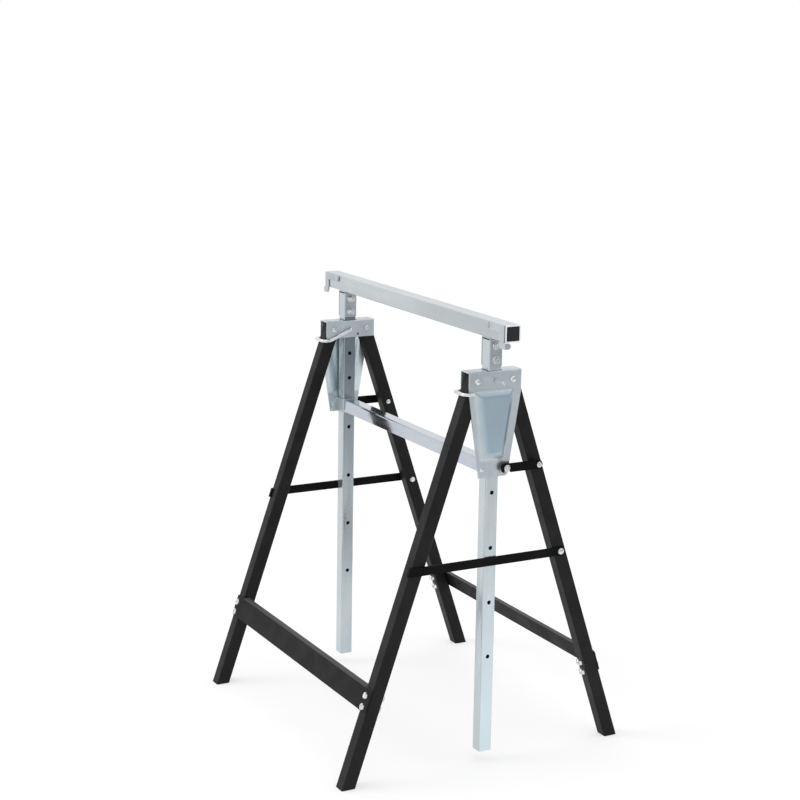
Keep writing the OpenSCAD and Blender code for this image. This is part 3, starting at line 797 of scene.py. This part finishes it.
def moved(piece, place, direction):
    """Set a form made about Z at a place, turned to a direction."""
    turn = Vector(direction).to_track_quat("Z", "Y").to_matrix().to_4x4()
    piece.data.transform(Matrix.Translation(Vector(place)) @ turn)
    return piece


def at_tail(piece, grip):
    """Turn a form about and set it behind what its bolt holds."""
    return moved(piece, (0, 0, -grip), (0, 0, -1))


def shank(radius, low, high):
    return turned([(radius, low), (radius, high)])


def outline(points, base=0.0):
    """An outline in millimetres as radii and heights in metres, above a base."""
    return [(radius * MM, base + height * MM) for radius, height in points]


def copied(pattern):
    piece = bpy.data.objects.new(pattern.name, pattern.data.copy())
    bpy.context.scene.collection.objects.link(piece)
    return piece


def fitted(node, name, pattern, seats):
    """All the fasteners of a node, copied from one pattern to their seats."""
    copies = [moved(copied(pattern), place, direction) for place, direction in seats]
    bpy.data.objects.remove(pattern)
    return finished(joined(copies, name), node)


def both_ends(x, y, z):
    return [((x, y, z), (1, 0, 0)), ((-x, y, z), (-1, 0, 0))]


# Fasteners
def guide_rivets():
    pattern = joined([
        domed(RIVET_HEAD_R, 0.0, RIVET_HEAD_RISE, RIVET_RIM),
        shank(RIVET_R, -RIVET_GRIP - RIVET_TAIL_RISE, SINK),
        at_tail(domed(RIVET_TAIL_R, 0.0, RIVET_TAIL_RISE, RIVET_RIM), RIVET_GRIP),
    ], "rivet")
    return fitted("guide_rivets", "guide_rivet_set", pattern, both_ends(PLATE_OUT, -RIVET_Y, RIVET_Z))


def link_studs():
    length = STUD_OUT - PLATE_OUT
    pattern = joined([
        shank(BOLT_R, -RIVET_GRIP - RIVET_TAIL_RISE, length - STUD_NECK),
        turned(outline(STUD_HEAD, length)),
        turned(outline(STUD_TAIL)),
    ], "stud")
    return fitted("link_studs", "link_stud_set", pattern, both_ends(PLATE_OUT, RIVET_Y, RIVET_Z))


def leg_pivot_bolts():
    grip = PLATE_OUT - FLANGE_OUT
    pattern = joined([
        domed(PIVOT_HEAD_R, 0.0, DOME_RISE),
        shank(BOLT_R, -grip - SINK, SINK),
        at_tail(hexed(PIVOT_NUT, 0.0, PIVOT_NUT_HIGH), grip),
        at_tail(threaded(BOLT_R, *PIVOT_THREAD), grip),
    ], "pivot_bolt")
    seats = both_ends(PLATE_OUT, PIVOT_Y, PIN_Z) + both_ends(PLATE_OUT, -PIVOT_Y, PIN_Z)
    return fitted("leg_pivot_bolts", "leg_pivot_bolt_set", pattern, seats)


def bracket_bolts():
    grip = 2 * BRACKET_FACE
    pattern = joined([
        washer(BRACKET_WASHER_R, 0.0, BRACKET_WASHER),
        hexed(BRACKET_HEX, BRACKET_WASHER, BRACKET_HEAD_TOP, BRACKET_HEAD_DISH),
        shank(BOLT_R, -grip - BRACKET_OVERLAP, BRACKET_OVERLAP),
        at_tail(washer(BRACKET_WASHER_R, 0.0, BRACKET_WASHER), grip),
        at_tail(hexed(BRACKET_HEX, BRACKET_WASHER, BRACKET_NUT_TOP), grip),
        at_tail(threaded(BOLT_R, *BRACKET_THREAD), grip),
    ], "bracket_bolt")
    seats = []
    for level in BRACKET_BOLT_Z:
        seats += both_ends(POST_X + BRACKET_FACE, 0.0, level)
    return fitted("bracket_bolts", "bracket_bolt_set", pattern, seats)


def stop_rivets():
    pattern = joined([
        domed(STOP_RIVET_HEAD_R, STOP_RIVET_GAP, STOP_RIVET_RISE, STOP_RIVET_RIM),
        shank(STOP_RIVET_R, *STOP_RIVET_SHANK),
    ], "stop_rivet")
    seats = [((side * STOP_PIVOT_X, STOP_FACE, STOP_PIVOT_Z), (0, -1, 0)) for side in (1, -1)]
    return fitted("stop_rivets", "stop_rivet_set", pattern, seats)


def rail_bolts(node, name, side):
    """Bolts through a lower rail and its two legs, square to the rail's sloping face."""
    pattern = joined([
        hexed(RAIL_HEAD, 0.0, RAIL_HEAD_HIGH, RAIL_HEAD_DISH),
        shank(BOLT_R, -RAIL_GRIP - NUT_OVERLAP, SINK),
        at_tail(hexed(RAIL_NUT, 0.0, RAIL_NUT_HIGH), RAIL_GRIP),
        at_tail(threaded(BOLT_R, *RAIL_THREAD), RAIL_GRIP),
    ], "rail_bolt")
    square = Vector((0.0, side * math.cos(SPLAY), math.sin(SPLAY)))
    down = Vector((0.0, side * math.sin(SPLAY), -math.cos(SPLAY)))
    seats = []
    for end in (-1, 1):
        for step in (-1, 1):
            along = (PIN_Z - RAIL_Z) / math.cos(SPLAY) + RAIL_BOLT_DROP + step * RAIL_BOLT_STEP
            pivot = Vector((end * POST_X, side * PIVOT_Y, PIN_Z))
            seats.append((pivot + down * along + square * RAIL_FACE, square))
    return fitted(node, name, pattern, seats)


def strap_bolts():
    grip = STRAP_HEAD - (POST_X - HALF_TUBE)
    pattern = joined([
        domed(STRAP_HEAD_R, 0.0, DOME_RISE),
        shank(BOLT_R, -grip - NUT_OVERLAP, SINK),
        at_tail(hexed(STRAP_NUT, 0.0, STRAP_NUT_HIGH), grip),
        at_tail(threaded(BOLT_R, *STRAP_THREAD), grip),
    ], "strap_bolt")
    return fitted("strap_bolts", "strap_bolt_set", pattern, both_ends(STRAP_HEAD, STRAP_Y, STRAP_Z))


def link_bolts():
    grip = LINK_HEAD - (POST_X - HALF_TUBE)
    pattern = joined([
        turned(outline(LINK_BOLT_HEAD)),
        shank(LINK_BOLT_R, -grip - NUT_OVERLAP, SINK),
        washer(LINK_COLLAR_R, POST_X + HALF_TUBE - LINK_HEAD, LINK_COLLAR - LINK_HEAD),
        at_tail(domed(LINK_TAIL_R, 0.0, LINK_TAIL_RISE, LINK_TAIL_RIM), grip),
    ], "link_bolt")
    return fitted("link_bolts", "link_bolt_set", pattern, both_ends(LINK_HEAD, LINK_Y, RIVET_Z))


# Locking pins
def arc(centre, start, end, steps=8):
    """Points on a quarter turn about a centre, from one arm to another."""
    points = []
    for step in range(1, steps):
        turn = math.radians(90.0 * step / steps)
        points.append(Vector(centre) + Vector(start) * math.cos(turn) + Vector(end) * math.sin(turn))
    return points


def pin_route():
    slope = math.atan2(PIN_DROP, -PIN_CORNER_Y)
    lean = Vector((0.0, -math.cos(slope), -math.sin(slope)))
    inward = Vector((-1.0, 0.0, 0.0))
    front = Vector((0.0, -1.0, 0.0))
    level = PIN_Z - PIN_DROP
    start_bend = Vector((PIN_INNER_X + PIN_BEND, 0.0, PIN_Z))
    corner = Vector((PIN_INNER_X, PIN_CORNER_Y, level))
    loop_inner = Vector((PIN_INNER_X + PIN_LOOP, PIN_FRONT_Y + PIN_LOOP, level))
    loop_outer = Vector((PIN_OUTER_X - PIN_LOOP, PIN_FRONT_Y + PIN_LOOP, level))
    route = [Vector((PIN_TIP_X, 0.0, PIN_Z)), Vector((PLATE_OUT, 0.0, PIN_Z)), start_bend]
    route += arc(start_bend + lean * PIN_BEND, -lean * PIN_BEND, inward * PIN_BEND)
    route.append(start_bend + lean * PIN_BEND + inward * PIN_BEND)
    for step in range(PIN_CORNER_STEPS + 1):
        share = step / PIN_CORNER_STEPS
        before = corner - lean * PIN_CORNER_RUN * (1.0 - share)
        after = corner + front * PIN_CORNER_RUN * share
        route.append(before.lerp(after, share))
    route.append(loop_inner + inward * PIN_LOOP)
    route += arc(loop_inner, inward * PIN_LOOP, front * PIN_LOOP)
    route.append(loop_inner + front * PIN_LOOP)
    route.append(loop_outer + front * PIN_LOOP)
    route += arc(loop_outer, front * PIN_LOOP, -inward * PIN_LOOP)
    route.append(loop_outer - inward * PIN_LOOP)
    route.append(Vector((PIN_OUTER_X, PIN_END_Y, level)))
    return route


def lock_pin(node, name, side):
    """A locking pin bent from rod, with rounded ends."""
    curve = bpy.data.curves.new(name, "CURVE")
    curve.dimensions = "3D"
    curve.bevel_depth = PIN_ROD
    curve.bevel_resolution = 6
    curve.use_fill_caps = True
    route = pin_route()
    spline = curve.splines.new("POLY")
    spline.points.add(len(route) - 1)
    for point, place in zip(spline.points, route):
        point.co = (side * place.x, place.y, place.z, 1.0)
    piece = bpy.data.objects.new(name, curve)
    bpy.context.scene.collection.objects.link(piece)
    only(piece)
    bpy.ops.object.convert(target="MESH")
    piece = bpy.context.object
    bpy.ops.object.mode_set(mode="EDIT")
    bpy.ops.mesh.select_all(action="SELECT")
    bpy.ops.mesh.remove_doubles(threshold=MERGE)
    bpy.ops.mesh.normals_make_consistent(inside=False)
    bpy.ops.object.mode_set(mode="OBJECT")
    apply_bevel(piece, PIN_TIP_SOFT, 3, "ANGLE", CUT_ANGLE)
    return finished(piece, node)


# Pressed heads
def in_pocket(place):
    """True on the walls, floor and foot of the pocket, not on the plate's own edges."""
    high = (place.z - POCKET_LOW) / (POCKET_TOP - POCKET_LOW)
    half = POCKET_HALF_LOW + (POCKET_HALF_TOP - POCKET_HALF_LOW) * high
    within = -POCKET_MARGIN < high < 1.0 + POCKET_MARGIN and abs(place.y) < half + POCKET_SLACK
    return within and abs(place.x) > PLATE_IN - SHEET / 4


def lean_pocket(form):
    """Steepen the pocket's rear wall and draw its front wall out, at the foot of each wall."""
    for vertex in form.verts:
        if not in_pocket(vertex.co) or abs(vertex.co.y) < POCKET_HALF_LOW * WALL_FROM:
            continue
        if abs(vertex.co.x) < PLATE_OUT + SHEET / 4:
            high = (vertex.co.z - POCKET_LOW) / (POCKET_TOP - POCKET_LOW)
            front = FRONT_WALL_STEP[0] * (1.0 - high) + FRONT_WALL_STEP[1] * high
            vertex.co.y -= REAR_WALL_STEP if vertex.co.y > 0 else front


def pressed_head(node, name):
    """A head whose pocket is drawn softly into the sheet and whose cut edges are broken."""
    piece = copy_of(node, name)
    form = bmesh.new()
    form.from_mesh(piece.data)
    weight = form.edges.layers.float.new("bevel_weight_edge")
    for edge in form.edges:
        bent = edge.calc_face_angle(0.0) > POCKET_BEND
        if bent and all(in_pocket(vertex.co) for vertex in edge.verts):
            edge[weight] = 1.0
    lean_pocket(form)
    form.to_mesh(piece.data)
    form.free()
    apply_bevel(piece, POCKET_SOFT, 6, "WEIGHT", clamp=False)
    apply_bevel(piece, SHEET_SOFT, 2, "ANGLE", CUT_ANGLE)
    return finished(piece, node)


# Lower rails
def lower_rail(node, name, side):
    """A folded rail whose top flange rises a little towards its free edge."""
    piece = copy_of(node, name)
    for vertex in piece.data.vertices:
        if side * vertex.co.y < RAIL_FREE_EDGE and vertex.co.z > RAIL_Z:
            vertex.co.z += RAIL_EDGE_RISE
    apply_bevel(piece, TUBE_SOFT, 2, "ANGLE")
    return finished(piece, node)


# Bar and its end caps
def drawn_in(piece):
    """Draw the bore of the bar, or a cap in it, a little towards the bar's axis."""
    for vertex in piece.data.vertices:
        across, up = vertex.co.y, vertex.co.z - BAR_MID
        if max(abs(across), abs(up)) < BAR_BORE:
            vertex.co.y = across * BORE_SHARE
            vertex.co.z = BAR_MID + up * BORE_SHARE


def top_bar():
    piece = copy_of("top_bar", "top_bar_tube")
    drawn_in(piece)
    apply_bevel(piece, BAR_SOFT, 3, "ANGLE")
    return finished(piece, "top_bar")


def bar_end_caps():
    """Push-in caps with a raised rim round a shallow panel."""
    piece = copy_of("bar_end_caps", "bar_end_cap_set")
    drawn_in(piece)
    only(piece)
    bpy.ops.object.mode_set(mode="EDIT")
    bpy.ops.mesh.select_all(action="DESELECT")
    form = bmesh.from_edit_mesh(piece.data)
    reach = max(vertex.co.x for vertex in form.verts)
    for face in form.faces:
        outermost = abs(face.calc_center_median().x) > reach - CAP_FACE
        face.select_set(outermost and abs(face.normal.x) > CAP_SQUARE)
    bmesh.update_edit_mesh(piece.data)
    bpy.ops.mesh.inset(thickness=CAP_RIM, use_individual=True)
    bpy.ops.mesh.inset(thickness=CAP_SLOPE, depth=-CAP_DEPTH, use_individual=True)
    bpy.ops.object.mode_set(mode="OBJECT")
    apply_bevel(piece, CAP_SOFT, 2, "ANGLE", CAP_ANGLE)
    return finished(piece, "bar_end_caps")


def dress():
    for side in ("left", "right"):
        pressed_head(f"{side}_head", f"{side}_head_pressing")
        softened(f"{side}_guide", f"{side}_guide_fold", SHEET_SOFT)
        softened(f"{side}_bracket", f"{side}_bracket_fold", FLAT_SOFT)
        softened(f"{side}_stop", f"{side}_stop_plate", TUBE_SOFT)
        softened(f"{side}_post", f"{side}_post_tube", TUBE_SOFT)
        softened(f"{side}_front_leg", f"{side}_front_leg_tube", TUBE_SOFT)
        softened(f"{side}_rear_leg", f"{side}_rear_leg_tube", TUBE_SOFT)
        softened(f"{side}_strap", f"{side}_strap_bar", FLAT_SOFT)
        softened(f"{side}_link", f"{side}_link_bar", FLAT_SOFT)
        lock_pin(f"{side}_lock_pin", f"{side}_lock_pin_rod", 1 if side == "right" else -1)
    softened("cross_rail", "cross_rail_fold", TUBE_SOFT)
    lower_rail("front_rail", "front_rail_fold", -1)
    lower_rail("rear_rail", "rear_rail_fold", 1)
    top_bar()
    softened("front_foot_plugs", "front_foot_plug_set", PLUG_SOFT)
    softened("rear_foot_plugs", "rear_foot_plug_set", PLUG_SOFT)
    bar_end_caps()
    guide_rivets()
    link_studs()
    leg_pivot_bolts()
    bracket_bolts()
    stop_rivets()
    rail_bolts("front_rail_bolts", "front_rail_bolt_set", -1)
    rail_bolts("rear_rail_bolts", "rear_rail_bolt_set", 1)
    strap_bolts()
    link_bolts()


# Stage, light and camera
FLOOR_PALE = (0.97, 0.97, 0.97, 1.0)
FLOOR_DIM = (0.47, 0.48, 0.50, 1.0)
SKY_WHITE = (1.0, 1.0, 1.0, 1.0)
SKY_DIM = (0.55, 0.56, 0.585, 1.0)
DIM_WAY = (0.669, 0.743, 0.0)
DIM_TURN = (0.05, 0.75)
DIM_REACH = (0.6, 3.6)
DIM_HEIGHT = (0.10, 0.50)
FLOOR_SIZE = 30.0
FLOOR_ROUGH = 0.9
FLOOR_SHINE = 0.1
WHITE_REACH = (0.8, 3.0)
WHITE_SHARE = (0.5, 1.0)
KEY_FROM = (-0.3, -0.8, 0.55)
KEY_STRENGTH = 0.9
KEY_SPREAD = 36.0


def dimming(tree, place, run):
    """0 to 1 as a place or a direction moves towards the dim side of the studio."""
    along = add_node(tree, "ShaderNodeVectorMath", operation="DOT_PRODUCT")
    feed(tree, place, along.inputs[0])
    along.inputs[1].default_value = DIM_WAY
    return ranged(tree, along.outputs["Value"], *run, *NONE_TO_ALL, "SMOOTHSTEP")


def floor():
    """Pale floor that turns white with distance and grey towards the dim side."""
    bpy.ops.object.select_all(action="DESELECT")
    bpy.ops.mesh.primitive_plane_add(size=FLOOR_SIZE, location=(0.0, 0.0, 0.0))
    plane = bpy.context.object
    plane.name = "floor"
    material = bpy.data.materials.new("floor_white")
    material.use_nodes = True
    tree = material.node_tree
    shader = tree.nodes["Principled BSDF"]
    shader.inputs["Roughness"].default_value = FLOOR_ROUGH
    shader.inputs["Specular IOR Level"].default_value = FLOOR_SHINE
    place = tree.nodes.new("ShaderNodeTexCoord").outputs["Object"]
    heading = add_node(tree, "ShaderNodeVectorMath", operation="NORMALIZE")
    feed(tree, place, heading.inputs[0])
    dim = dimming(tree, heading.outputs["Vector"], DIM_TURN)
    dim = times(tree, dim, dimming(tree, place, DIM_REACH))
    feed(tree, mix_colour(tree, dim, FLOOR_PALE, FLOOR_DIM), shader.inputs["Base Color"])
    reach = add_node(tree, "ShaderNodeVectorMath", operation="LENGTH")
    feed(tree, place, reach.inputs[0])
    white = ranged(tree, reach.outputs["Value"], *WHITE_REACH, *WHITE_SHARE)
    white = times(tree, white, ranged(tree, dim, *NONE_TO_ALL, *ALL_TO_NONE))
    ray = tree.nodes.new("ShaderNodeLightPath")
    seen = maths(tree, "MAXIMUM", ray.outputs["Is Camera Ray"], ray.outputs["Is Glossy Ray"])
    seen = maths(tree, "MAXIMUM", seen, ray.outputs["Is Transmission Ray"])
    glow = tree.nodes.new("ShaderNodeEmission")
    blend = tree.nodes.new("ShaderNodeMixShader")
    feed(tree, times(tree, white, seen), blend.inputs[0])
    feed(tree, shader.outputs[0], blend.inputs[1])
    feed(tree, glow.outputs[0], blend.inputs[2])
    feed(tree, blend.outputs[0], tree.nodes["Material Output"].inputs["Surface"])
    plane.data.materials.append(material)


def sun(name, place, strength, spread):
    lamp = bpy.data.lights.new(name, "SUN")
    lamp.energy = strength
    lamp.angle = math.radians(spread)
    holder = bpy.data.objects.new(name, lamp)
    bpy.context.scene.collection.objects.link(holder)
    holder.rotation_euler = (-Vector(place)).to_track_quat("-Z", "Y").to_euler()


def studio():
    world = bpy.data.worlds.new("studio")
    bpy.context.scene.world = world
    world.use_nodes = True
    tree = world.node_tree
    sky = tree.nodes["Background"]
    direction = tree.nodes.new("ShaderNodeTexCoord").outputs["Generated"]
    low = ranged(tree, along_axes(tree, direction)[2], *DIM_HEIGHT, *ALL_TO_NONE)
    dim = times(tree, dimming(tree, direction, DIM_TURN), low)
    feed(tree, mix_colour(tree, dim, SKY_WHITE, SKY_DIM), sky.inputs["Color"])
    sky.inputs["Strength"].default_value = 1.0
    sun("key_left", KEY_FROM, KEY_STRENGTH, KEY_SPREAD)


FOCAL_PX = 1809.36
CENTRE_PX = (446.71, 352.27)
FRAME_PX = 800.0
SENSOR = 36.0
VIEW_DEPTH = 100.0
CAMERA_PLACE = Vector((2.9112, -1.5786, 1.3143))
CAMERA_TURN = math.radians(60.478)
CAMERA_DIP = math.radians(10.551)
CAMERA_ROLL = math.radians(1.2034)


def camera():
    forward = Vector((
        -math.sin(CAMERA_TURN) * math.cos(CAMERA_DIP),
        math.cos(CAMERA_TURN) * math.cos(CAMERA_DIP),
        -math.sin(CAMERA_DIP),
    ))
    level = Vector((math.cos(CAMERA_TURN), math.sin(CAMERA_TURN), 0.0))
    upright = level.cross(forward)
    right = level * math.cos(CAMERA_ROLL) + upright * math.sin(CAMERA_ROLL)
    above = upright * math.cos(CAMERA_ROLL) - level * math.sin(CAMERA_ROLL)
    lens = bpy.data.cameras.new("camera")
    lens.sensor_fit = "HORIZONTAL"
    lens.sensor_width = SENSOR
    lens.lens = FOCAL_PX * SENSOR / FRAME_PX
    lens.shift_x = (FRAME_PX / 2 - CENTRE_PX[0]) / FRAME_PX
    lens.shift_y = (CENTRE_PX[1] - FRAME_PX / 2) / FRAME_PX
    lens.clip_end = VIEW_DEPTH
    holder = bpy.data.objects.new("camera", lens)
    bpy.context.scene.collection.objects.link(holder)
    turn = Matrix((right, above, -forward)).transposed().to_4x4()
    holder.matrix_world = Matrix.Translation(CAMERA_PLACE) @ turn
    bpy.context.scene.camera = holder


bpy.context.scene.view_settings.view_transform = "Standard"
dress()
floor()
studio()
camera()
